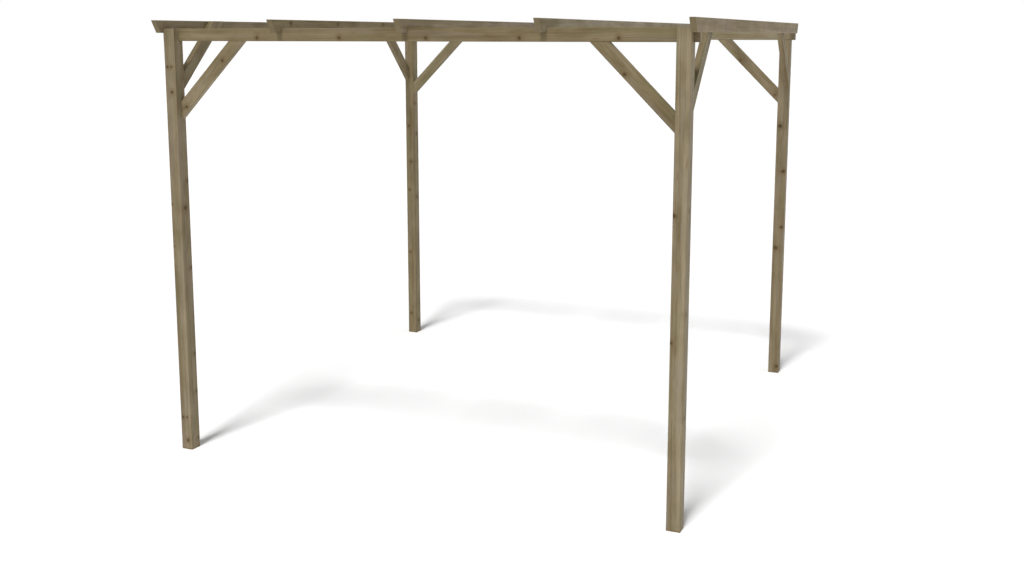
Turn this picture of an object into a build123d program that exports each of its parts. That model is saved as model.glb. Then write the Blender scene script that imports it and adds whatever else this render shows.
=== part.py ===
"""Open timber carport frame, put together from sawn and planed softwood.

Four square posts carry two beams, which lie in laps cut into the post heads.
Rafters are notched over both beams, and the outer two pass outside the posts.
Each post has two mitred braces: one under its beam, one against its outer rafter.

Lengths are in millimetres. The origin is on the ground at the middle of the plan,
X runs along the beams, the front is towards -Y, and Z is up.
"""

import math
import os

from build123d import *

# Posts: square section, with a lap in the inner half of the head
POST_WIDTH = 71.0
POST_HEIGHT = 2400.0

# Beams: one across the front posts and one across the back posts
BEAM_LENGTH = 3000.0
BEAM_HEIGHT = 68.0
BEAM_THICKNESS = 34.0

# Rafters: evenly spaced, the outer two flush with the beam ends
RAFTER_COUNT = 5
RAFTER_LENGTH = 3000.0
RAFTER_HEIGHT = 68.0
RAFTER_THICKNESS = 30.0
RAFTER_OVERHANG = 60.0
RAFTER_NOTCH_DEPTH = 24.0
RAFTER_RAKE_DEGREES = 30.0

# Braces: one pattern for every corner, measured along its long edge
BRACE_LENGTH = 600.0
BRACE_WIDTH = 68.0
BRACE_THICKNESS = 34.0
BRACE_SLOPE_DEGREES = 45.0

# Machined rounding on the long edges of every timber, and how far cuts run past a face
EASED_RADIUS = 3.0
CUT_OVERRUN = 10.0

# Plan: faces of the posts, taken from the beams and rafters that meet them
POST_OUTER_X = BEAM_LENGTH / 2 - RAFTER_THICKNESS
POST_INNER_X = POST_OUTER_X - POST_WIDTH
POST_X = (POST_OUTER_X + POST_INNER_X) / 2
POST_OUTER_Y = RAFTER_LENGTH / 2 - RAFTER_OVERHANG
POST_INNER_Y = POST_OUTER_Y - POST_WIDTH
POST_Y = (POST_OUTER_Y + POST_INNER_Y) / 2
BEAM_INNER_Y = POST_INNER_Y
BEAM_OUTER_Y = BEAM_INNER_Y + BEAM_THICKNESS
BEAM_Y = (BEAM_INNER_Y + BEAM_OUTER_Y) / 2

# Levels, from the ground up
BEAM_BASE = POST_HEIGHT - BEAM_HEIGHT
BEAM_MIDDLE = POST_HEIGHT - BEAM_HEIGHT / 2
RAFTER_BASE = POST_HEIGHT - RAFTER_NOTCH_DEPTH
RAFTER_TOP = RAFTER_BASE + RAFTER_HEIGHT

SIDES = {"left": -1, "right": 1}
ENDS = {"front": -1, "back": 1}


def build_post(name, side, end):
    """A square post whose head is halved on its inner face to take the beam."""
    foot = Plane(origin=(side * POST_X, end * POST_Y, 0))
    lap_floor = Plane(
        origin=(side * POST_X, end * BEAM_OUTER_Y, BEAM_BASE),
        x_dir=(-end, 0, 0),
        z_dir=(0, 0, 1),
    )
    with BuildPart() as post:
        with BuildSketch(foot):
            RectangleRounded(POST_WIDTH, POST_WIDTH, EASED_RADIUS)
        extrude(amount=POST_HEIGHT)
        with BuildSketch(lap_floor):
            Rectangle(
                POST_WIDTH + CUT_OVERRUN,
                BEAM_THICKNESS + CUT_OVERRUN,
                align=(Align.CENTER, Align.MIN),
            )
        extrude(amount=BEAM_HEIGHT + CUT_OVERRUN, mode=Mode.SUBTRACT)
    post.part.label = name
    export_step(post.part, f"parts/{name}.step")


def build_beam(name, end):
    """A straight beam that lies in the laps of two posts."""
    left_end = Plane(
        origin=(-BEAM_LENGTH / 2, end * BEAM_Y, BEAM_MIDDLE),
        x_dir=(0, 1, 0),
        z_dir=(1, 0, 0),
    )
    with BuildPart() as beam:
        with BuildSketch(left_end):
            RectangleRounded(BEAM_THICKNESS, BEAM_HEIGHT, EASED_RADIUS)
        extrude(amount=BEAM_LENGTH)
    beam.part.label = name
    export_step(beam.part, f"parts/{name}.step")


def build_rafter(name, centre_x):
    """A rafter with raked ends, notched over the front and back beams."""
    rake = RAFTER_HEIGHT * math.tan(math.radians(RAFTER_RAKE_DEGREES))
    left_face = Plane(
        origin=(centre_x - RAFTER_THICKNESS / 2, 0, 0),
        x_dir=(0, 1, 0),
        z_dir=(1, 0, 0),
    )
    with BuildPart() as rafter:
        with BuildSketch(left_face):
            with BuildLine() as outline:
                Polyline(
                    (0, RAFTER_TOP),
                    (RAFTER_LENGTH / 2, RAFTER_TOP),
                    (RAFTER_LENGTH / 2 - rake, RAFTER_BASE),
                    (BEAM_OUTER_Y, RAFTER_BASE),
                    (BEAM_OUTER_Y, POST_HEIGHT),
                    (BEAM_INNER_Y, POST_HEIGHT),
                    (BEAM_INNER_Y, RAFTER_BASE),
                    (0, RAFTER_BASE),
                )
                mirror(outline.line, about=Plane.YZ)
            make_face()
        extrude(amount=RAFTER_THICKNESS)
        levels = rafter.edges().filter_by(Axis.Y).group_by(Axis.Z)
        fillet(levels[0] + levels[-1], EASED_RADIUS)
    rafter.part.label = name
    export_step(rafter.part, f"parts/{name}.step")


def build_brace(name, corner, inward, across):
    """A mitred brace between a post and the timber that runs level above it.

    The brace fills the corner point on the post's face at the height of its top cut.
    Inward is the level direction away from the post, and across is the direction in
    which the brace has its thickness.
    """
    slope = math.radians(BRACE_SLOPE_DEGREES)
    level_leg = BRACE_LENGTH * math.cos(slope)
    upright_leg = BRACE_LENGTH * math.sin(slope)
    level_cut = BRACE_WIDTH / math.sin(slope)
    upright_cut = BRACE_WIDTH / math.cos(slope)
    upright_plane = Plane(
        origin=corner,
        x_dir=inward,
        z_dir=Vector(inward).cross(Vector(0, 0, 1)),
    )
    along = upright_plane.x_dir * math.cos(slope) + Vector(0, 0, 1) * math.sin(slope)
    with BuildPart() as brace:
        with BuildSketch(upright_plane):
            with BuildLine():
                Polyline(
                    (level_leg, 0),
                    (level_leg - level_cut, 0),
                    (0, upright_cut - upright_leg),
                    (0, -upright_leg),
                    close=True,
                )
            make_face()
        extrude(amount=BRACE_THICKNESS * upright_plane.z_dir.dot(Vector(across)))
        fillet(brace.edges().filter_by(Axis(corner, along)), EASED_RADIUS)
    brace.part.label = name
    export_step(brace.part, f"parts/{name}.step")


os.makedirs("parts", exist_ok=True)

for end_name, end in ENDS.items():
    build_beam(f"{end_name}_beam", end)
    for side_name, side in SIDES.items():
        corner_name = f"{end_name}_{side_name}"
        build_post(f"{corner_name}_post", side, end)
        build_brace(
            f"{corner_name}_beam_brace",
            corner=(side * POST_INNER_X, end * BEAM_INNER_Y, BEAM_BASE),
            inward=(-side, 0, 0),
            across=(0, end, 0),
        )
        build_brace(
            f"{corner_name}_rafter_brace",
            corner=(side * POST_OUTER_X, end * POST_INNER_Y, RAFTER_TOP),
            inward=(0, -end, 0),
            across=(-side, 0, 0),
        )

rafter_span = BEAM_LENGTH - RAFTER_THICKNESS
for number in range(RAFTER_COUNT):
    share = number / (RAFTER_COUNT - 1)
    build_rafter(f"rafter_{number + 1}", rafter_span * share - rafter_span / 2)
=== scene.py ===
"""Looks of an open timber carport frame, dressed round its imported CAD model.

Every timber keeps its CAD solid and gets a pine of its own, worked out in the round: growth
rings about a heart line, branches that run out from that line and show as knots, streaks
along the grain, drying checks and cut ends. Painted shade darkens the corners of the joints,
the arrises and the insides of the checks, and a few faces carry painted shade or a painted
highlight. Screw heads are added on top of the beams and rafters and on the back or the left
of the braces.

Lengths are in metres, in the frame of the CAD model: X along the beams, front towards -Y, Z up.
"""

import logging
import math
import random
from dataclasses import dataclass
from enum import Enum
from functools import reduce
from typing import Any, Iterator, Optional, Union

import bmesh
import bpy
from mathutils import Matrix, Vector


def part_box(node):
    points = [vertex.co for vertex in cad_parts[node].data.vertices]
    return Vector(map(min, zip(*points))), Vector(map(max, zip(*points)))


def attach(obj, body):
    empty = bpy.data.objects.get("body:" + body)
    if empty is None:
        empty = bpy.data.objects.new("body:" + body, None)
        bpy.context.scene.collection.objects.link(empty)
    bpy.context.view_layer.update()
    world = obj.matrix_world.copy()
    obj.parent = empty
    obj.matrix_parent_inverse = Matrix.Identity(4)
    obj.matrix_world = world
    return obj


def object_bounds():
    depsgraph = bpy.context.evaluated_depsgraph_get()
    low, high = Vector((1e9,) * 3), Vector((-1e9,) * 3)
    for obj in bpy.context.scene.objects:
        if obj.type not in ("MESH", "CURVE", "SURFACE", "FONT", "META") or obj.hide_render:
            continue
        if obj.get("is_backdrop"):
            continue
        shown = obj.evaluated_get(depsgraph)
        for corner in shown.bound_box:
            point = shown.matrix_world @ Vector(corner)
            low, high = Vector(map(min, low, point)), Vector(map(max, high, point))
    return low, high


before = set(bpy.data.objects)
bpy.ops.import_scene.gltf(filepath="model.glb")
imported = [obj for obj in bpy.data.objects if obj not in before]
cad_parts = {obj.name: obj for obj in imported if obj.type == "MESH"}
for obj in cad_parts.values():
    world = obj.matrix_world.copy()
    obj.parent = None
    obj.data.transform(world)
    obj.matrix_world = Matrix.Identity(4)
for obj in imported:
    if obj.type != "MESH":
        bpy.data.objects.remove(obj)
CAD_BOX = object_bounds()

LOG = logging.getLogger("carport")
BODY = "root"
IMAGE_WIDTH = 1024

RIGHTWARDS = Vector((1.0, 0.0, 0.0))
BACKWARDS = Vector((0.0, 1.0, 0.0))
UPWARDS = Vector((0.0, 0.0, 1.0))

Colour = tuple[float, float, float]
Span = tuple[float, float]
Number = Union["Wire", float]

# Colours that several features of the pine share
BROWN: Colour = (0.150, 0.108, 0.046)
STAIN: Colour = (0.150, 0.090, 0.036)

# How far apart two timbers read their noise, and how much of that lies to the side and in depth
SEED_STRIDE = 7.31
SEED_TURNS: Span = (0.37, -0.71)

# Where the heart line of every brace lies, far outside it
BRACE_HEART: Span = (0.2, 2.7)

# What a Noise Texture gives on average
NOISE_MIDDLE = 0.5


class Side(Enum):
    """Which side of the frame a piece stands on, as seen from the front."""

    LEFT = -1
    RIGHT = 1


class End(Enum):
    """Which end of the frame a piece stands at."""

    FRONT = -1
    BACK = 1


class Face(Enum):
    """The way a face of a timber looks."""

    FRONT = (0.0, -1.0, 0.0)
    BACK = (0.0, 1.0, 0.0)
    LEFT = (-1.0, 0.0, 0.0)
    RIGHT = (1.0, 0.0, 0.0)


class Surface(Enum):
    """How a timber left the mill."""

    PLANED = "planed"
    SAWN = "sawn"


class Wire:
    """A number that a shader works out, which can be written in sums such as 1 - mask."""

    def __init__(self, shader: "Shader", socket: bpy.types.NodeSocket) -> None:
        """Keeps the shader and the output socket that carries the number."""
        self.shader = shader
        self.socket = socket

    def _sum(self, operation: str, *numbers: Number) -> "Wire":
        """Adds a Math node with these inputs, and hands back its result."""
        sockets = dict(enumerate(numbers))
        return self.shader.node("ShaderNodeMath", {"operation": operation}, sockets)

    def __add__(self, other: Number) -> "Wire":
        """This plus another number."""
        return self._sum("ADD", self, other)

    __radd__ = __add__

    def __sub__(self, other: Number) -> "Wire":
        """This less another number."""
        return self._sum("SUBTRACT", self, other)

    def __rsub__(self, other: Number) -> "Wire":
        """Another number less this."""
        return self._sum("SUBTRACT", other, self)

    def __mul__(self, other: Number) -> "Wire":
        """This times another number."""
        return self._sum("MULTIPLY", self, other)

    __rmul__ = __mul__

    def __truediv__(self, other: Number) -> "Wire":
        """This over another number."""
        return self._sum("DIVIDE", self, other)

    def __rtruediv__(self, other: Number) -> "Wire":
        """Another number over this."""
        return self._sum("DIVIDE", other, self)

    def __abs__(self) -> "Wire":
        """This without its sign."""
        return self._sum("ABSOLUTE", self)

    def fraction(self) -> "Wire":
        """What is left of this past the last whole number."""
        return self._sum("FRACT", self)

    def least(self, other: Number) -> "Wire":
        """The smaller of this and another number."""
        return self._sum("MINIMUM", self, other)

    def most(self, other: Number) -> "Wire":
        """The larger of this and another number."""
        return self._sum("MAXIMUM", self, other)

    def ramp(self, start: float, end: float) -> "Wire":
        """A smooth step on this number.

        Args:
            start: Where the step is 0.
            end: Where the step is 1, which may be the smaller of the two.

        Returns:
            The step, from 0 to 1.
        """
        low, high = min(start, end), max(start, end)
        step = self.shader.node(
            "ShaderNodeMapRange",
            {"interpolation_type": "SMOOTHSTEP"},
            {"Value": self, "From Min": low, "From Max": high},
        )
        return step if start < end else 1 - step


class Shader:
    """One material, whose nodes are written as expressions."""

    def __init__(self, owner: Union[bpy.types.Material, bpy.types.World]) -> None:
        """Takes over a material or a world, and empties it.

        Args:
            owner: The material or the world.
        """
        owner.use_nodes = True
        self.tree = owner.node_tree
        self.tree.nodes.clear()

    def add(self, kind: str, settings: dict[str, Any], sockets: dict[Any, Any]) -> bpy.types.Node:
        """Adds a node.

        Args:
            kind: The node's type.
            settings: The node's own settings, which are set first.
            sockets: A value or a Wire for each input, by name or number.

        Returns:
            The node.
        """
        made = self.tree.nodes.new(kind)
        for key, value in settings.items():
            setattr(made, key, value)
        for key, value in sockets.items():
            if isinstance(value, Wire):
                self.tree.links.new(value.socket, made.inputs[key])
            else:
                made.inputs[key].default_value = value
        return made

    def node(
        self,
        kind: str,
        settings: dict[str, Any],
        sockets: dict[Any, Any],
        output: Union[str, int] = 0,
    ) -> Wire:
        """Adds a node, and hands back one of its outputs, by name or number."""
        return Wire(self, self.add(kind, settings, sockets).outputs[output])

    def vector(self, operation: str, *inputs: Any, output: str = "Vector") -> Wire:
        """Adds a Vector Math node with these inputs, and hands back its Vector or its Value."""
        sockets = dict(enumerate(inputs))
        return self.node("ShaderNodeVectorMath", {"operation": operation}, sockets, output)

    def dot(self, first: Any, second: Any) -> Wire:
        """The product of two vectors as a number."""
        return self.vector("DOT_PRODUCT", first, second, output="Value")

    def point(self, x: Number, y: Number, z: Number) -> Wire:
        """Puts three numbers together as a vector."""
        return self.node("ShaderNodeCombineXYZ", {}, {"X": x, "Y": y, "Z": z})

    def length(self, x: Number, y: Number) -> Wire:
        """How far a point of a plane is from its origin."""
        return self.vector("LENGTH", self.point(x, y, 0.0), output="Value")

    def noise(self, place: Wire, detail: float = 2.0, rough: float = 0.5) -> Wire:
        """Soft noise at a place.

        Args:
            place: The place, in which one unit is about one wave.
            detail: How many finer layers are added.
            rough: How strong each finer layer is.

        Returns:
            Noise about 0, mostly within a quarter of a unit.
        """
        sockets = {"Vector": place, "Scale": 1.0, "Detail": detail, "Roughness": rough}
        noise = self.node("ShaderNodeTexNoise", {"noise_dimensions": "3D"}, sockets, "Fac")
        return noise - NOISE_MIDDLE

    def mix(self, share: Number, first: Any, second: Any) -> Wire:
        """Mixes two colours.

        Args:
            share: How much of the second colour there is.
            first: A colour or a Wire.
            second: A colour or a Wire.

        Returns:
            The mixed colour.
        """
        settings = {"data_type": "RGBA", "clamp_factor": True}
        first, second = (c if isinstance(c, Wire) else (*c, 1.0) for c in (first, second))
        # Inputs 0, 6 and 7 and output 2 are the ones that a Mix node shows for colours
        return self.node("ShaderNodeMix", settings, {0: share, 6: first, 7: second}, 2)

    def shown(self) -> Wire:
        """1 for what the camera sees, straight or by gloss or glass, and 0 for other light."""
        paths = ("Is Camera Ray", "Is Glossy Ray", "Is Transmission Ray")
        return reduce(Wire.most, (self.node("ShaderNodeLightPath", {}, {}, path) for path in paths))


@dataclass(frozen=True)
class Knot:
    """Where a branch comes out on a face of a timber.

    Attributes:
        face: The face that shows it.
        along: How far it is from the timber's low, left or front end.
        across: How far it is off the middle of the face, to the right, back or top.
        radius: Half its width.
    """

    face: Face
    along: float
    across: float
    radius: float

    @classmethod
    def row(
        cls, face: Face, places: tuple[float, ...], across: float, radius: float
    ) -> tuple["Knot", ...]:
        """Like knots at several places along a face."""
        return tuple(cls(face, along, across, radius) for along in places)


@dataclass(frozen=True)
class StreakOrPaintedLight:
    """A lighter or darker band along the grain; some are painted shade or a painted highlight.

    Attributes:
        side: How far it is off the timber's middle line to the side.
        depth: How far it is off that line in depth.
        radius: Half its width.
        light: How much lighter it is, or darker where it is below 0.
    """

    side: float
    depth: float
    radius: float
    light: float


@dataclass(frozen=True)
class Stock:
    """What sets one timber apart from the next of its kind.

    Attributes:
        node: The CAD node's name.
        seed: Picks its grain.
        heart: Where the heart line lies off the middle, in half widths of side and depth.
        tone: How light it is beside the others in red, green and blue.
        knots: The knots on the faces that show most.
        streaks: Its lighter and darker bands, some of them painted shade or highlight.
    """

    node: str
    seed: int
    heart: Span
    tone: Colour
    knots: tuple[Knot, ...] = ()
    streaks: tuple[StreakOrPaintedLight, ...] = ()

    def toned(self, colour: Colour) -> Colour:
        """A colour as light as this timber makes it."""
        return (colour[0] * self.tone[0], colour[1] * self.tone[1], colour[2] * self.tone[2])


class Timber:
    """One CAD node, measured along its own grain."""

    def __init__(self, stock: Stock, ways: tuple[Vector, Vector, Vector]) -> None:
        """Measures a node.

        Args:
            stock: The node, and what sets it apart.
            ways: The way its grain runs, its side and its depth, at right angles.
        """
        self.stock = stock
        self.ways = tuple(way.normalized() for way in ways)
        corners = [v.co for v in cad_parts[stock.node].data.vertices]
        spans = [[corner.dot(way) for corner in corners] for way in self.ways]
        low = Vector([min(span) for span in spans])
        high = Vector([max(span) for span in spans])
        self.half = (high - low) / 2
        self.middle = self.turned((high + low) / 2)
        self.heart = Vector((0.0, stock.heart[0] * self.half[1], stock.heart[1] * self.half[2]))

    def turned(self, local: Vector) -> Vector:
        """A vector given in the timber's own directions, in those of the frame."""
        return sum((way * share for way, share in zip(self.ways, local)), Vector())

    def place(self, along: float, side: float, depth: float) -> Vector:
        """A point in the frame, from its distances to the low end and to the middle lines."""
        return self.middle + self.turned(Vector((along - self.half[0], side, depth)))

    def is_side(self, face: Face) -> bool:
        """Whether a face lies to the timber's side, and not in its depth."""
        out = Vector(face.value)
        return abs(out.dot(self.ways[1])) > abs(out.dot(self.ways[2]))

    def on_face(self, knot: Knot) -> Vector:
        """Where a knot lies.

        Args:
            knot: The knot.

        Returns:
            Its place along, to the side and in depth, from the timber's middle.
        """
        out = Vector(knot.face.value)
        along = knot.along - self.half[0]
        if self.is_side(knot.face):
            side = math.copysign(self.half[1], out.dot(self.ways[1]))
            return Vector((along, side, knot.across))
        return Vector((along, knot.across, math.copysign(self.half[2], out.dot(self.ways[2]))))


@dataclass(frozen=True)
class Waves:
    """Noise in a timber, drawn out along the grain.

    Attributes:
        along: Waves to a metre along the grain.
        across: Waves to a metre across it.
        shift: Where it is read, which sets it apart from the timber's other noise.
        detail: How many finer layers are added.
        rough: How strong each finer layer is.
    """

    along: float
    across: float
    shift: float = 0.0
    detail: float = 2.0
    rough: float = 0.5


@dataclass(frozen=True)
class Layer:
    """A colour that lies over the wood where a feature shows.

    Attributes:
        colour: The colour.
        share: How much of the wood's own colour it hides.
        follows_tone: Whether it is lighter on a lighter timber.
    """

    colour: Colour
    share: float
    follows_tone: bool = True

    def on(self, stock: Stock) -> Colour:
        """The layer's colour on a timber."""
        return stock.toned(self.colour) if self.follows_tone else self.colour


@dataclass(frozen=True)
class Feel:
    """What a feature does to the surface of the wood.

    Attributes:
        rough: How much rougher it is there.
        height: How far it stands out, as a share of the relief's height.
    """

    rough: float
    height: float


@dataclass(frozen=True)
class Branches:
    """How branches run out from a timber's heart line and show as knots.

    Attributes:
        rise: How far a branch climbs for each metre outwards.
        knot: Where a knot begins and is full, in branch radii from the branch's middle line.
        halo: Where the stained wood round it begins and is full, in the same way.
        free: How far wood without knots is from a branch, in branch radii.
        rag: Noise that makes the outline of a knot ragged.
        rag_reach: How far that moves it, in branch radii.
        plain_faces: The faces that get knots by chance.
        spacing: About how far apart those are.
        first_shares, gap_shares: The least and the most of that before the first, and between two.
        across_share: How far off the middle of the face they reach, in half widths.
        radii: Their smallest and their largest radius.
    """

    rise: float = 0.25
    knot: Span = (1.5, 0.5)
    halo: Span = (4.0, 1.0)
    free: float = 9.0
    rag: Waves = Waves(90.0, 150.0)
    rag_reach: float = 0.7
    plain_faces: tuple[Face, ...] = ()
    spacing: float = 0.45
    first_shares: Span = (0.2, 0.8)
    gap_shares: Span = (0.6, 1.4)
    across_share: float = 0.8
    radii: Span = (0.004, 0.008)


@dataclass(frozen=True)
class Rings:
    """How growth rings lie about a timber's heart line.

    Attributes:
        width: Width of one year's growth.
        sway: How far the heart line wanders along the timber.
        sway_side, sway_depth: Noise by which it wanders to the side and in depth.
        ripple: Noise that makes the rings uneven.
        ripple_reach: How far that moves them.
        bulge: How far they bend out round a knot.
        late: Where dark late wood begins and is full, in years.
        winter: Where it has ended and is still full, in years.
    """

    width: float = 0.0042
    sway: float = 0.022
    sway_side: Waves = Waves(0.9, 0.0)
    sway_depth: Waves = Waves(0.8, 0.0, 19.0)
    ripple: Waves = Waves(7.0, 70.0)
    ripple_reach: float = 0.0024
    bulge: float = 0.0045
    late: Span = (0.25, 0.9)
    winter: Span = (1.0, 0.94)


@dataclass(frozen=True)
class DryingChecks:
    """How a timber cracks as it dries, in planes through the heart line that open on one face.

    Attributes:
        count: Checks to a timber.
        width: Half the width of a check.
        lip_share: Width of its soft edge, as a share of that.
        stray: How far a check wanders along the timber.
        run: Noise along the grain by which a check wanders.
        apart: How far apart two checks read that noise.
        width_apart: How far from there the noise is read by which a check opens and closes.
        opening: Noise at which a check begins to open and is fully open.
        face_share: How far off the middle of the face it may lie, in half widths.
        depth_shares: Where it begins and is full, as shares of the way from the heart to the face.
    """

    count: int = 2
    width: float = 0.0007
    lip_share: float = 0.4
    stray: float = 0.014
    run: Waves = Waves(2.3, 0.0, 43.0, 3.0)
    apart: float = 31.0
    width_apart: float = 5.0
    opening: Span = (0.04, 0.16)
    face_share: float = 0.7
    depth_shares: Span = (0.7, 0.9)


@dataclass(frozen=True)
class SawMarks:
    """What the saw leaves on timber that isn't planed.

    Attributes:
        shade: How the marks darken the wood.
        kerf: Noise of the single cuts, which run across the grain.
        kerf_share: How strong those are.
        sweep: Noise of the broad bands in which the saw swayed.
        span: Where the wood begins to darken and is darkest.
        feel: What the marks do to the surface.
    """

    shade: Layer = Layer(BROWN, 0.5)
    kerf: Waves = Waves(150.0, 12.0, 3.0, 2.0, 0.6)
    kerf_share: float = 0.5
    sweep: Waves = Waves(17.0, 3.0, 8.0, 2.0, 0.6)
    span: Span = (0.0, -0.22)
    feel: Feel = Feel(0.1, 0.35)


@dataclass(frozen=True)
class PineFinish:
    """Pressure-treated pine: a matt greenish brown with darker streaks and small knots.

    Attributes:
        name: The first part of its materials' names.
        surface: How the timber left the mill.
        branches, rings, checks, saw: Its knots, growth rings, drying checks and saw marks.
        fibre, streak, mottle: Noise of the fibres, of long streaks and of short soft patches.
        tint, fleck: Noise of greener and greyer wood, and of stained flecks along the grain.
        band: Noise along the grain by which a timber's own streaks wander and fade.
        band_core: How wide the full strength of those is, as a share of their radius.
        light: How light the wood is on the whole, from brown at 0 to pale at 1.
        fibre_light, streak_light, mottle_light: How strongly those three noises show.
        late_dark: How much darker late wood is.
        tint_reach: Noise at which the wood is greenest, or greyest below 0.
        fleck_span: Noise at which a fleck begins and is full.
        cut_span: How squarely a face crosses the grain where cut ends begin and are full.
        corner_reach: How far the painted shade reaches out of the inner corner of a joint.
        corner_span: How open the corner is where the painted shade begins and is full.
        edge_width: Width of the painted shade along an arris.
        foot_height: How far up damp has darkened the low end.
        pale: Colour of the lightest wood.
        green, grey: Where the preservative shows most, and where the wood has weathered most.
        flecks, halo: The stained flecks, and the stained wood round a knot.
        end, edge: The cut ends, and painted shade along the arrises, toning down their highlight.
        corner_shade, damp: Painted shade in the corners of joints, and the damp of the low end.
        knot, gap: The knots, and the painted shade inside a drying check.
        roughness: How rough the wood is on the whole.
        fibre_feel, late_feel, knot_feel, check_feel: What each of those does to the surface.
    """

    name: str
    surface: Surface = Surface.PLANED
    branches: Branches = Branches()
    rings: Rings = Rings()
    checks: DryingChecks = DryingChecks()
    saw: SawMarks = SawMarks()
    fibre: Waves = Waves(16.0, 850.0, 0.0, 3.0, 0.6)
    streak: Waves = Waves(0.8, 36.0, 5.0, 3.0)
    mottle: Waves = Waves(5.5, 15.0, 11.0, 3.0)
    tint: Waves = Waves(2.4, 30.0, 29.0)
    fleck: Waves = Waves(13.0, 110.0, 53.0, 1.0)
    band: Waves = Waves(1.1, 0.0, 37.0, 1.0)
    band_core: float = 0.2
    light: float = 0.54
    fibre_light: float = 0.35
    late_dark: float = 0.22
    streak_light: float = 1.3
    mottle_light: float = 1.3
    tint_reach: float = 0.25
    fleck_span: Span = (0.12, 0.3)
    cut_span: Span = (0.5, 0.7)
    corner_reach: float = 0.05
    corner_span: Span = (0.6, 0.1)
    edge_width: float = 0.0045
    foot_height: float = 0.0
    pale: Colour = (0.300, 0.238, 0.136)
    green: Layer = Layer((0.196, 0.168, 0.078), 0.55)
    grey: Layer = Layer((0.236, 0.188, 0.134), 0.55)
    flecks: Layer = Layer(STAIN, 0.5)
    halo: Layer = Layer(STAIN, 0.45)
    end: Layer = Layer((0.214, 0.168, 0.090), 0.7, False)
    # Painted shade, deepest in the inner corners of the joints
    corner_shade: Layer = Layer(STAIN, 0.6)
    damp: Layer = Layer(STAIN, 0.6, False)
    # Painted shade along the arrises, which tones down the highlight of their rounded edges
    edge: Layer = Layer(BROWN, 0.4)
    knot: Layer = Layer((0.066, 0.041, 0.015), 0.92, False)
    # Painted shade inside a drying check
    gap: Layer = Layer((0.030, 0.022, 0.014), 0.8, False)
    roughness: float = 0.6
    fibre_feel: Feel = Feel(0.2, 0.12)
    late_feel: Feel = Feel(-0.06, 0.08)
    knot_feel: Feel = Feel(-0.1, 0.12)
    check_feel: Feel = Feel(0.0, -0.9)


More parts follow.
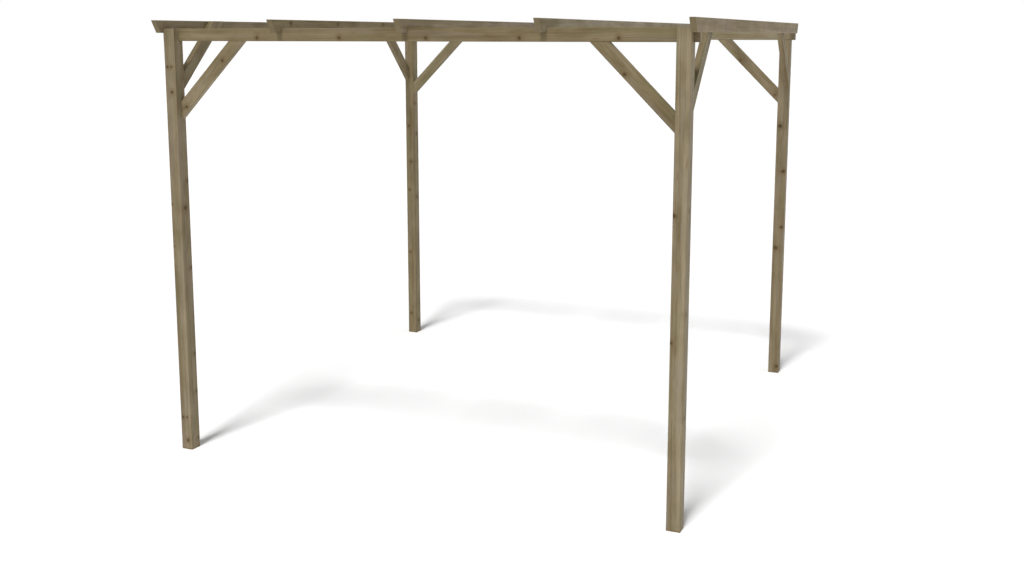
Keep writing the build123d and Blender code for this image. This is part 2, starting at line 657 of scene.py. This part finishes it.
class Pine:
    """The pine of one timber, worked out in a material of its own."""

    def __init__(self, finish: PineFinish, timber: Timber) -> None:
        """Measures each point from the timber's middle, and finds the features of the wood.

        Args:
            finish: How the pine looks.
            timber: The timber.
        """
        self.finish = finish
        self.timber = timber
        self.material = bpy.data.materials.new(f"{finish.name}_{timber.stock.node}")
        self.shader = Shader(self.material)
        place = self.shader.node("ShaderNodeTexCoord", {}, {}, "Object")
        from_middle = self.shader.vector("SUBTRACT", place, timber.middle)
        distances = (self.shader.dot(from_middle, way) for way in timber.ways)
        self.along, self.side, self.depth = distances
        self.local = self.shader.point(self.along, self.side, self.depth)
        near = self.nearest_branch()
        self.knot = near.ramp(*finish.branches.knot)
        self.halo = near.ramp(*finish.branches.halo)
        rings = finish.rings
        self.off_side = self.side - timber.heart[1] + self.noise(rings.sway_side) * rings.sway
        self.off_depth = self.depth - timber.heart[2] + self.noise(rings.sway_depth) * rings.sway
        self.late = self.late_wood()
        self.fibre = self.noise(finish.fibre)
        self.check = reduce(Wire.most, self.open_checks())
        facing = self.shader.node("ShaderNodeNewGeometry", {}, {}, "True Normal")
        self.cut = abs(self.shader.dot(facing, timber.ways[0])).ramp(*finish.cut_span)
        self.marks: Optional[Wire] = None
        if finish.surface is Surface.SAWN:
            kerf = self.noise(finish.saw.kerf) * finish.saw.kerf_share
            self.marks = (kerf + self.noise(finish.saw.sweep)) * (1 - self.cut)

    def place(self, waves: Waves) -> Wire:
        """Finds where some noise is read.

        Args:
            waves: The noise.

        Returns:
            A place in which one unit is one wave, and which differs from timber to timber.
        """
        start = self.timber.stock.seed * SEED_STRIDE
        to_side, to_depth = (start * turn for turn in SEED_TURNS)
        scale = (waves.along, waves.across, waves.across)
        drawn = self.shader.vector("MULTIPLY", self.local, scale)
        return self.shader.vector("ADD", drawn, (start + waves.shift, to_side, to_depth))

    def noise(self, waves: Waves) -> Wire:
        """Noise about 0 that is drawn out along the grain."""
        return self.shader.noise(self.place(waves), waves.detail, waves.rough)

    def chance_knots(self) -> Iterator[Knot]:
        """Strews knots over the plain faces, the same at each run.

        Returns:
            The knots, one after another.
        """
        branches, half = self.finish.branches, self.timber.half
        chance = random.Random(self.timber.stock.seed)
        for face in branches.plain_faces:
            reach = branches.across_share * half[2 if self.timber.is_side(face) else 1]
            along = branches.spacing * chance.uniform(*branches.first_shares)
            while along < 2 * half[0]:
                across = chance.uniform(-reach, reach)
                yield Knot(face, along, across, chance.uniform(*branches.radii))
                along += branches.spacing * chance.uniform(*branches.gap_shares)

    def branch_gaps(self) -> Iterator[Wire]:
        """Finds how far each point lies from each branch.

        Returns:
            The distance to each branch's middle line, in branch radii.
        """
        shader, heart = self.shader, self.timber.heart
        for knot in (*self.timber.stock.knots, *self.chance_knots()):
            out = self.timber.on_face(knot)
            start = Vector((out[0], heart[1], heart[2]))
            start[0] -= (out - start).length * self.finish.branches.rise
            way = (out - start).normalized()
            from_start = shader.vector("SUBTRACT", self.local, start)
            reach = shader.dot(from_start, way).most(0.0)
            sockets = {"Vector": way, "Scale": reach}
            on_branch = shader.node("ShaderNodeVectorMath", {"operation": "SCALE"}, sockets)
            yield shader.vector("DISTANCE", from_start, on_branch, output="Value") / knot.radius

    def nearest_branch(self) -> Wire:
        """How far the nearest branch is, in branch radii, with a ragged outline.

        Returns:
            The distance to that branch's middle line.
        """
        branches = self.finish.branches
        nearest = reduce(lambda near, gap: gap.least(near), self.branch_gaps(), branches.free)
        return nearest + self.noise(branches.rag) * branches.rag_reach

    def late_wood(self) -> Wire:
        """Finds the dark late wood of each year.

        Returns:
            1 in late wood, and 0 in early wood.
        """
        rings = self.finish.rings
        radius = self.shader.length(self.off_side, self.off_depth)
        bulge = self.halo * self.halo * rings.bulge
        grown = radius + self.noise(rings.ripple) * rings.ripple_reach + bulge
        year = (grown / rings.width).fraction()
        return year.ramp(*rings.late) * year.ramp(*rings.winter)

    def open_checks(self) -> Iterator[Wire]:
        """Finds how far each drying check has opened.

        Returns:
            1 inside each check, and 0 in sound wood.
        """
        shader, timber, checks = self.shader, self.timber, self.finish.checks
        run = self.place(checks.run)
        chance = random.Random(timber.stock.seed + 1)
        for number in range(checks.count):
            side = chance.uniform(-checks.face_share, checks.face_share) * timber.half[1]
            depth = chance.choice((-1, 1)) * timber.half[2]
            out = Vector((side - timber.heart[1], depth - timber.heart[2]))
            begins, ends = (out.length * share for share in checks.depth_shares)
            out.normalize()
            here = shader.vector("ADD", run, (checks.apart * number, 0.0, 0.0))
            stray = shader.noise(here, checks.run.detail) * checks.stray
            there = shader.vector("ADD", here, (0.0, checks.width_apart, 0.0))
            width = shader.noise(there).ramp(*checks.opening) * checks.width
            gap = abs(self.off_side * out.y - self.off_depth * out.x + stray)
            near_face = (self.off_side * out.x + self.off_depth * out.y).ramp(begins, ends)
            yield (width - gap).ramp(0.0, checks.width * checks.lip_share) * near_face

    def streak_lights(self) -> Iterator[Wire]:
        """Finds how much the timber's bands, painted shade and highlight among them, lighten it.

        Returns:
            What each streak adds.
        """
        stray = self.noise(self.finish.band)
        for streak in self.timber.stock.streaks:
            off_side = self.side - streak.side + stray * self.finish.rings.sway
            gap = self.shader.length(off_side, self.depth - streak.depth)
            core = gap.ramp(streak.radius, streak.radius * self.finish.band_core)
            yield core * (streak.light + stray * streak.light)

    def layers(self) -> Iterator[tuple[Wire, Layer]]:
        """Finds where other colours lie over the wood.

        Returns:
            Where each of them shows, and the colour, from the lowest to the topmost.
        """
        finish, half = self.finish, self.timber.half
        tint = self.noise(finish.tint)
        yield tint.ramp(0.0, finish.tint_reach), finish.green
        yield tint.ramp(0.0, -finish.tint_reach), finish.grey
        yield self.noise(finish.fleck).ramp(*finish.fleck_span), finish.flecks
        yield self.halo, finish.halo
        if self.marks is not None:
            yield self.marks.ramp(*finish.saw.span), finish.saw.shade
        yield self.cut, finish.end
        # Painted shade in the inner corners of the joints, found by an ambient occlusion node
        reach = {"Distance": finish.corner_reach}
        openness = self.shader.node("ShaderNodeAmbientOcclusion", {"samples": 8}, reach, "AO")
        yield openness.ramp(*finish.corner_span), finish.corner_shade
        if finish.foot_height:
            yield (self.along + half[0]).ramp(finish.foot_height, 0.0), finish.damp
        # Painted shade along the arrises, which tones down their highlight
        at_side = abs(self.side).ramp(half[1] - finish.edge_width, half[1])
        at_depth = abs(self.depth).ramp(half[2] - finish.edge_width, half[2])
        yield at_side * at_depth, finish.edge
        yield self.knot, finish.knot
        # Painted shade inside the drying checks
        yield self.check, finish.gap

    def colour(self) -> Wire:
        """Colours the wood, and lays the other colours over it.

        Returns:
            The colour.
        """
        finish, stock, mix = self.finish, self.timber.stock, self.shader.mix
        light = finish.light + self.fibre * finish.fibre_light - self.late * finish.late_dark
        light = light + sum(self.streak_lights())
        light = light + self.noise(finish.streak) * finish.streak_light
        light = light + self.noise(finish.mottle) * finish.mottle_light
        colour = mix(light, stock.toned(BROWN), stock.toned(finish.pale))
        for where, layer in self.layers():
            colour = mix(where * layer.share, colour, layer.on(stock))
        return colour

    def dress(self) -> None:
        """Gives the timber its pine."""
        finish, shader, node = self.finish, self.shader, self.timber.stock.node
        feels = [
            (self.fibre, finish.fibre_feel),
            (self.late, finish.late_feel),
            (self.knot, finish.knot_feel),
            (self.check, finish.check_feel),
        ]
        if self.marks is not None:
            feels.append((self.marks, finish.saw.feel))
        height = sum(where * feel.height for where, feel in feels)
        relief = {"Height": height, "Strength": 0.7, "Distance": 0.001}
        sockets = {
            "Base Color": self.colour(),
            "Roughness": sum((where * feel.rough for where, feel in feels), finish.roughness),
            "Normal": shader.node("ShaderNodeBump", {}, relief),
            "Specular IOR Level": 0.2,
        }
        pine = shader.node("ShaderNodeBsdfPrincipled", {}, sockets)
        shader.add("ShaderNodeOutputMaterial", {}, {"Surface": pine})
        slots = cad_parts[node].data.materials
        slots.clear()
        slots.append(self.material)
        LOG.info("%s: dressed in %s", node, finish.name)


@dataclass(frozen=True)
class SteelFinish:
    """Stainless steel of the screws, dulled by the driver.

    Attributes:
        name: The material's name.
        bright: Its lightest colour.
        dull: Its darkest colour.
        light: How light it is on the whole, from dull at 0 to bright at 1.
        wear_light: How strongly wear shows in the colour.
        roughness: How rough it is on the whole.
        wear_rough: How strongly wear shows in the roughness.
        waves: Waves of wear to a metre.
    """

    name: str = "screw_steel"
    bright: Colour = (0.56, 0.55, 0.53)
    dull: Colour = (0.34, 0.33, 0.31)
    light: float = 0.5
    wear_light: float = 2.0
    roughness: float = 0.36
    wear_rough: float = 0.3
    waves: float = 900.0

    def material(self) -> bpy.types.Material:
        """Makes the steel's material.

        Returns:
            The material.
        """
        material = bpy.data.materials.new(self.name)
        shader = Shader(material)
        place = shader.node("ShaderNodeTexCoord", {}, {}, "Object")
        scaled = shader.vector("MULTIPLY", place, (self.waves,) * 3)
        wear = shader.noise(scaled, detail=3.0, rough=0.6)
        sockets = {
            "Base Color": shader.mix(wear * self.wear_light + self.light, self.dull, self.bright),
            "Metallic": 1.0,
            "Roughness": self.roughness + wear * self.wear_rough,
        }
        steel = shader.node("ShaderNodeBsdfPrincipled", {}, sockets)
        shader.add("ShaderNodeOutputMaterial", {}, {"Surface": steel})
        return material


@dataclass(frozen=True)
class ScrewHead:
    """A countersunk screw head with a star recess, driven almost flush.

    Attributes:
        radius: Radius of the head.
        proud: How far it stands out of the timber.
        eased: Width of the rounded rim.
        sunk: How far the head's solid runs into the timber.
        recess: Middle radius of the star.
        lobe: How far the star's points reach past that, and its hollows fall short.
        lobes: Points of the star.
        recess_depth: How deep the star is.
        steps: Corners round the head.
    """

    radius: float = 0.0048
    proud: float = 0.0006
    eased: float = 0.0003
    sunk: float = 0.0012
    recess: float = 0.0019
    lobe: float = 0.00035
    lobes: int = 6
    recess_depth: float = 0.0005
    steps: int = 48

    def outlines(self) -> list[tuple[float, float, float]]:
        """The head's rings from the timber to the bottom of the recess.

        Returns:
            Radius, reach of the star's points and height of each ring.
        """
        rim = self.radius - self.eased
        floor = self.proud - self.recess_depth
        return [
            (self.radius, 0.0, -self.sunk),
            (self.radius, 0.0, self.proud - self.eased),
            (rim, 0.0, self.proud),
            (self.recess, self.lobe, self.proud),
            (self.recess - self.eased, self.lobe, floor),
        ]

    def add_to(self, mesh: bmesh.types.BMesh, place: Vector, out: Vector) -> None:
        """Adds a head to a mesh.

        Args:
            mesh: The mesh.
            place: Where the screw's middle line meets the timber's face.
            out: The way that the face looks.
        """
        turn = out.to_track_quat("Z", "Y")
        rings = []
        for radius, lobe, height in self.outlines():
            ring = []
            for step in range(self.steps):
                angle = math.tau * step / self.steps
                reach = radius + lobe * math.cos(self.lobes * angle)
                point = Vector((reach * math.cos(angle), reach * math.sin(angle), height))
                ring.append(mesh.verts.new(place + turn @ point))
            rings.append(ring)
        for lower, upper in zip(rings, rings[1:]):
            for step in range(self.steps):
                after = (step + 1) % self.steps
                mesh.faces.new((lower[step], lower[after], upper[after], upper[step]))
        mesh.faces.new(reversed(rings[0]))
        mesh.faces.new(rings[-1])


@dataclass(frozen=True)
class Screws:
    """The screws of one kind of joint, as one piece.

    Attributes:
        name: The piece's name.
        spots: Where each screw meets its timber, and the way that face looks.
        head: The shape of a head.
        finish: The steel.
    """

    name: str
    spots: tuple[tuple[Vector, Vector], ...]
    head: ScrewHead = ScrewHead()
    finish: SteelFinish = SteelFinish()

    def build(self) -> None:
        """Builds and dresses the piece, and lets it ride on the frame."""
        mesh = bmesh.new()
        for place, out in self.spots:
            self.head.add_to(mesh, place, out)
        data = bpy.data.meshes.new(self.name)
        mesh.to_mesh(data)
        mesh.free()
        data.materials.append(self.finish.material())
        piece = bpy.data.objects.new(self.name, data)
        bpy.context.scene.collection.objects.link(piece)
        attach(piece, BODY)
        LOG.info("%s: %d heads", self.name, len(self.spots))


@dataclass(frozen=True)
class Posts:
    """The four square posts, cut through the heart, so that knots show on every face.

    Attributes:
        finish: The posts' pine.
        stock: What sets each post apart.
    """

    finish: PineFinish = PineFinish(
        "post_timber", branches=Branches(plain_faces=(Face.BACK, Face.LEFT)), foot_height=0.012
    )
    stock: tuple[Stock, ...] = (
        Stock(
            "front_left_post", 11, (0.1, -0.2), (0.982, 1.012, 1.138),
            (
                Knot(Face.FRONT, 2.191, -0.018, 0.007),
                Knot(Face.FRONT, 2.192, 0.007, 0.006),
                Knot(Face.FRONT, 2.054, 0.006, 0.009),
                Knot(Face.FRONT, 1.429, -0.030, 0.004),
                Knot(Face.FRONT, 1.190, -0.031, 0.004),
                Knot(Face.FRONT, 0.189, -0.022, 0.007),
                Knot(Face.FRONT, 0.192, 0.007, 0.005),
                Knot(Face.FRONT, 0.054, 0.007, 0.009),
                Knot(Face.RIGHT, 1.408, -0.003, 0.013),
                *Knot.row(Face.RIGHT, (1.558, 1.061, 0.560, 0.336, 0.057), 0.026, 0.007),
            ),
            (StreakOrPaintedLight(0.026, -0.036, 0.014, 0.2), StreakOrPaintedLight(-0.014, -0.036, 0.016, -0.12)),
        ),
        Stock(
            "front_right_post", 23, (-0.15, 0.1), (1.076, 1.125, 1.273),
            (
                Knot(Face.FRONT, 1.539, -0.031, 0.011),
                Knot(Face.FRONT, 0.933, -0.030, 0.007),
                Knot(Face.RIGHT, 1.563, -0.010, 0.008),
                Knot(Face.RIGHT, 1.071, -0.014, 0.010),
                Knot(Face.RIGHT, 0.564, -0.010, 0.010),
            ),
            (StreakOrPaintedLight(0.019, -0.036, 0.015, 0.24), StreakOrPaintedLight(-0.006, -0.036, 0.016, -0.16)),
        ),
        Stock(
            "back_left_post", 37, (0.2, 0.15), (0.875, 0.887, 0.908),
            (
                Knot(Face.FRONT, 1.661, -0.010, 0.008),
                Knot(Face.FRONT, 1.382, 0.005, 0.010),
                Knot(Face.FRONT, 1.158, -0.010, 0.007),
                *Knot.row(Face.FRONT, (0.658, 0.157), -0.011, 0.007),
                Knot(Face.RIGHT, 1.839, -0.014, 0.008),
                Knot(Face.RIGHT, 1.598, 0.004, 0.011),
                Knot(Face.RIGHT, 1.100, -0.002, 0.010),
                Knot(Face.RIGHT, 0.096, 0.002, 0.010),
            ),
            (StreakOrPaintedLight(0.036, 0.0, 0.036, 0.15),),
        ),
        Stock(
            "back_right_post", 41, (-0.1, -0.15), (1.000, 1.024, 1.135),
            (
                Knot(Face.FRONT, 1.748, -0.012, 0.013),
                Knot(Face.FRONT, 1.437, 0.020, 0.011),
                Knot(Face.FRONT, 1.046, 0.020, 0.009),
                Knot(Face.FRONT, 0.899, -0.014, 0.013),
                Knot(Face.FRONT, 0.048, 0.022, 0.009),
            ),
        ),
    )

    def dress(self) -> None:
        """Dresses each post."""
        for stock in self.stock:
            Pine(self.finish, Timber(stock, (UPWARDS, RIGHTWARDS, BACKWARDS))).dress()


@dataclass(frozen=True)
class Beams:
    """The two beams, each held down in the laps of its posts by screws from above.

    Attributes:
        finish: The beams' pine.
        stock: What sets each beam apart.
        screw_share: How far each screw is off the post's middle, in half post widths.
    """

    finish: PineFinish = PineFinish("beam_timber")
    stock: tuple[Stock, ...] = (
        Stock(
            "front_beam", 53, (0.3, 2.6), (0.873, 0.877, 0.877),
            Knot.row(Face.FRONT, (0.614, 1.118, 1.616, 2.118, 2.616), -0.016, 0.008),
        ),
        Stock("back_beam", 61, (-0.2, 2.4), (1.067, 1.149, 1.309)),
    )
    screw_share: float = 0.45

    def dress(self) -> None:
        """Dresses each beam."""
        for stock in self.stock:
            Pine(self.finish, Timber(stock, (RIGHTWARDS, UPWARDS, BACKWARDS))).dress()

    def fasten(self) -> None:
        """Drives two screws through each beam into each post's lap."""
        spots = []
        for end in End:
            low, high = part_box(f"{end.name.lower()}_beam")
            for side in Side:
                post_low, post_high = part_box(f"{end.name.lower()}_{side.name.lower()}_post")
                middle = (post_low.x + post_high.x) / 2
                reach = (post_high.x - post_low.x) / 2 * self.screw_share
                for x in (middle - reach, middle + reach):
                    spots.append((Vector((x, (low.y + high.y) / 2, high.z)), UPWARDS))
        Screws("beam_screws", tuple(spots)).build()


@dataclass(frozen=True)
class Rafters:
    """The rafters, sawn and notched over the beams, each screwed down to both of them.

    Attributes:
        finish: The rafters' pine.
        rough_finish: The same on the rafters whose saw marks show most.
        rough: Those rafters.
        stock: What sets each rafter apart.
    """

    finish: PineFinish = PineFinish(
        "rafter_timber",
        Surface.SAWN,
        saw=SawMarks(Layer(BROWN, 0.15)),
        mottle_light=1.8,
        roughness=0.7,
    )
    rough_finish: PineFinish = PineFinish("rafter_timber", Surface.SAWN, roughness=0.7)
    rough: tuple[str, ...] = ("rafter_5",)
    stock: tuple[Stock, ...] = (
        Stock("rafter_1", 67, (0.2, -2.8), (0.899, 0.902, 1.033)),
        Stock(
            "rafter_2", 71, (-0.3, -2.6), (0.841, 0.839, 0.860),
            Knot.row(Face.RIGHT, (0.184, 0.660, 1.185, 1.72, 2.31), 0.016, 0.009),
        ),
        Stock("rafter_3", 73, (0.1, 2.9), (1.051, 1.082, 1.284)),
        Stock("rafter_4", 79, (0.3, -2.7), (1.151, 1.238, 1.516)),
        Stock(
            "rafter_5", 83, (-0.1, -3.0), (1.079, 1.099, 1.213),
            # Painted highlight along the bottom edge of the outer face
            streaks=(StreakOrPaintedLight(-0.034, 0.015, 0.018, 0.2),),
        ),
    )

    def dress(self) -> None:
        """Dresses each rafter."""
        for stock in self.stock:
            finish = self.rough_finish if stock.node in self.rough else self.finish
            Pine(finish, Timber(stock, (BACKWARDS, UPWARDS, RIGHTWARDS))).dress()

    def fasten(self) -> None:
        """Drives a screw down through each rafter into each beam."""
        spots = []
        for node in (stock.node for stock in self.stock):
            low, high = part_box(node)
            for end in End:
                beam_low, beam_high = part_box(f"{end.name.lower()}_beam")
                y = (beam_low.y + beam_high.y) / 2
                spots.append((Vector(((low.x + high.x) / 2, y, high.z)), UPWARDS))
        Screws("rafter_screws", tuple(spots)).build()


@dataclass(frozen=True)
class Braces:
    """The mitred braces, each screwed from its back or left to its post and to the timber over it.

    Attributes:
        finish: The braces' pine.
        stock: What sets each brace apart.
        screw_from_tip: How far each screw is from the nearer tip of the long edge.
        screw_off_middle: How far each screw is off the middle line, towards the long edge.
    """

    finish: PineFinish = PineFinish("brace_timber", streak_light=0.6, mottle_light=2.3)
    stock: tuple[Stock, ...] = (
        Stock(
            "front_left_beam_brace", 97, BRACE_HEART, (1.001, 1.034, 1.105),
            (Knot(Face.FRONT, 0.429, -0.010, 0.009), Knot(Face.FRONT, 0.071, -0.014, 0.007)),
            (StreakOrPaintedLight(-0.034, 0.0, 0.022, 0.3),),
        ),
        Stock(
            "front_left_rafter_brace", 99, BRACE_HEART, (0.939, 0.970, 1.074),
            # Painted shade darkening the upper face
            streaks=(StreakOrPaintedLight(0.034, 0.0, 0.026, -0.7),),
        ),
        Stock(
            "front_right_beam_brace", 101, BRACE_HEART, (0.893, 0.911, 0.909),
            (Knot(Face.FRONT, 0.373, -0.017, 0.008),),
        ),
        Stock(
            "front_right_rafter_brace", 103, BRACE_HEART, (0.901, 0.930, 0.973),
            # Painted shade darkening the upper face a little
            streaks=(StreakOrPaintedLight(0.034, 0.0, 0.026, -0.1),),
        ),
        Stock("back_left_beam_brace", 105, BRACE_HEART, (0.914, 0.946, 1.029)),
        Stock("back_left_rafter_brace", 107, BRACE_HEART, (0.919, 0.942, 0.984)),
        Stock(
            "back_right_beam_brace", 109, BRACE_HEART, (0.896, 0.906, 0.981),
            (Knot(Face.FRONT, 0.388, -0.018, 0.007), Knot(Face.FRONT, 0.052, -0.012, 0.006)),
        ),
        Stock(
            "back_right_rafter_brace", 111, BRACE_HEART, (1.020, 1.017, 1.046),
            # Painted shade darkening the right face, against its grazing sheen
            streaks=(StreakOrPaintedLight(0.0, 0.017, 0.018, -0.35),),
        ),
    )
    screw_from_tip: float = 0.045
    screw_off_middle: float = 0.010

    def timbers(self) -> Iterator[Timber]:
        """Measures each brace along its slope.

        Returns:
            The braces, one after another.
        """
        stock = {each.node: each for each in self.stock}
        for end in End:
            for side in Side:
                corner = f"{end.name.lower()}_{side.name.lower()}"
                kinds = (
                    ("beam", RIGHTWARDS * -side.value, BACKWARDS),
                    ("rafter", BACKWARDS * -end.value, RIGHTWARDS),
                )
                for kind, inward, depth in kinds:
                    node = f"{corner}_{kind}_brace"
                    low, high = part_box(node)
                    rise = high.z - low.z
                    run = abs((high - low).dot(inward))
                    along = inward * run + UPWARDS * rise
                    outward = UPWARDS * run - inward * rise
                    yield Timber(stock[node], (along, outward, depth))

    def dress(self) -> None:
        """Dresses each brace."""
        for timber in self.timbers():
            Pine(self.finish, timber).dress()

    def fasten(self) -> None:
        """Drives a screw into each brace near both of its tips, from its back or its left.

        A brace that has a rafter on its left is screwed through that rafter.
        """
        spots = []
        outer_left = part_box("rafter_1")[0].x
        for timber in self.timbers():
            is_beam_brace = "beam" in timber.stock.node
            out = timber.ways[2] if is_beam_brace else -timber.ways[2]
            length = 2 * timber.half[0]
            for along in (self.screw_from_tip, length - self.screw_from_tip):
                place = timber.place(along, -self.screw_off_middle, 0.0) + out * timber.half[2]
                if along > timber.half[0] and "left_rafter" in timber.stock.node:
                    place.x = outer_left
                spots.append((place, out))
        Screws("brace_screws", tuple(spots)).build()


@dataclass(frozen=True)
class Studio:
    """A white floor and soft daylight from the front, a little to the left.

    Attributes:
        floor_reach: Half the floor's width.
        floor_colour: Colour of the floor, by which it throws light back.
        shown_colour: Colour of the floor and the sky where they are seen.
        horizon: Strength of the light from the sky low down.
        zenith: Strength of the light from the sky overhead.
        fill: How much stronger the sky is on the right than in front.
        sun: Strength of the lamp, in watts to a square metre.
        sun_height_degrees: How high the lamp stands over the horizon.
        sun_left_degrees: How far the lamp stands to the left of the front.
        sun_width_degrees: How wide the lamp looks, which softens its shadows.
    """

    floor_reach: float = 80.0
    floor_colour: Colour = (0.80, 0.80, 0.80)
    shown_colour: Colour = (1.0, 1.0, 1.0)
    horizon: float = 0.93
    zenith: float = 0.03
    fill: float = 0.33
    sun: float = 2.63
    sun_height_degrees: float = 63.5
    sun_left_degrees: float = 1.0
    sun_width_degrees: float = 11.5

    def build(self) -> None:
        """Builds the floor, the lamp and the sky."""
        self.build_floor()
        self.build_sun()
        self.build_sky()
        LOG.info("studio: floor, lamp and sky")

    def build_floor(self) -> None:
        """Lays the floor at the height of the post feet."""
        reach = self.floor_reach
        ways = ((-1, -1), (1, -1), (1, 1), (-1, 1))
        corners = [(x * reach, y * reach, 0.0) for x, y in ways]
        data = bpy.data.meshes.new("floor")
        data.from_pydata(corners, [], [(0, 1, 2, 3)])
        material = bpy.data.materials.new("floor_white")
        shader = Shader(material)
        sockets = {
            "Base Color": shader.mix(shader.shown(), self.floor_colour, self.shown_colour),
            "Roughness": 1.0,
            "Specular IOR Level": 0.0,
        }
        white = shader.node("ShaderNodeBsdfPrincipled", {}, sockets)
        shader.add("ShaderNodeOutputMaterial", {}, {"Surface": white})
        data.materials.append(material)
        floor = bpy.data.objects.new("floor", data)
        bpy.context.scene.collection.objects.link(floor)
        floor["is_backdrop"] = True

    def build_sun(self) -> None:
        """Hangs the lamp."""
        lamp = bpy.data.lights.new("sun", "SUN")
        lamp.energy = self.sun
        lamp.angle = math.radians(self.sun_width_degrees)
        height, left = math.radians(self.sun_height_degrees), math.radians(self.sun_left_degrees)
        level = math.cos(height)
        to_lamp = Vector((-math.sin(left) * level, -math.cos(left) * level, math.sin(height)))
        sun = bpy.data.objects.new("sun", lamp)
        sun.rotation_euler = to_lamp.to_track_quat("Z", "Y").to_euler()
        bpy.context.scene.collection.objects.link(sun)

    def build_sky(self) -> None:
        """Makes the sky: soft light, stronger low down, with a white that shows."""
        world = bpy.data.worlds.new("sky")
        bpy.context.scene.world = world
        shader = Shader(world)
        way = shader.node("ShaderNodeTexCoord", {}, {}, "Generated")
        grey = shader.mix(shader.dot(way, UPWARDS), (self.horizon,) * 3, (self.zenith,) * 3)
        strength = 1 + shader.dot(way, RIGHTWARDS) * self.fill
        soft = shader.node("ShaderNodeBackground", {}, {"Color": grey, "Strength": strength})
        shown = {"Color": (*self.shown_colour, 1.0), "Strength": 1.0}
        white = shader.node("ShaderNodeBackground", {}, shown)
        both = shader.node("ShaderNodeMixShader", {}, {0: shader.shown(), 1: soft, 2: white})
        shader.add("ShaderNodeOutputWorld", {}, {"Surface": both})


@dataclass(frozen=True)
class PhotoCamera:
    """A camera that looks at the frame as the photograph does.

    Attributes:
        place: Where it stands.
        focal_pixels: Focal length in pixels of the image.
        shift_pixels: How far the image's middle is moved down from the lens's middle.
        left_degrees: How far it is turned to the left.
        down_degrees: How far it looks down.
        sensor: Width of the sensor in millimetres.
    """

    place: tuple[float, float, float] = (2.683, -6.468, 2.362)
    focal_pixels: float = 1126.0
    shift_pixels: float = 80.0
    left_degrees: float = 22.54
    down_degrees: float = 8.71
    sensor: float = 36.0

    def build(self) -> None:
        """Builds the camera and hands it to the scene."""
        data = bpy.data.cameras.new("camera")
        data.sensor_width = self.sensor
        data.lens = self.sensor * self.focal_pixels / IMAGE_WIDTH
        data.shift_y = -self.shift_pixels / IMAGE_WIDTH
        camera = bpy.data.objects.new("camera", data)
        camera.location = self.place
        from_plumb = math.radians(90.0 - self.down_degrees)
        camera.rotation_euler = (from_plumb, 0.0, math.radians(self.left_degrees))
        bpy.context.scene.collection.objects.link(camera)
        bpy.context.scene.camera = camera
        LOG.info("camera: %.1f mm lens", data.lens)


def write_sizes() -> None:
    """Works out the CAD model's box and the dressed model's box as plain lists, and keeps neither.
    """
    boxes = {"cad": CAD_BOX, "visual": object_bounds()}
    {name: [list(corner) for corner in box] for name, box in boxes.items()}


def main() -> None:
    """Builds the camera and the studio, then dresses the frame piece by piece."""
    logging.basicConfig(level=logging.INFO, format="%(name)s: %(message)s")
    bpy.context.scene.view_settings.view_transform = "Standard"
    PhotoCamera().build()
    Studio().build()
    Posts().dress()
    beams = Beams()
    beams.dress()
    beams.fasten()
    rafters = Rafters()
    rafters.dress()
    rafters.fasten()
    braces = Braces()
    braces.dress()
    braces.fasten()
    write_sizes()


if __name__ == "__main__":
    main()
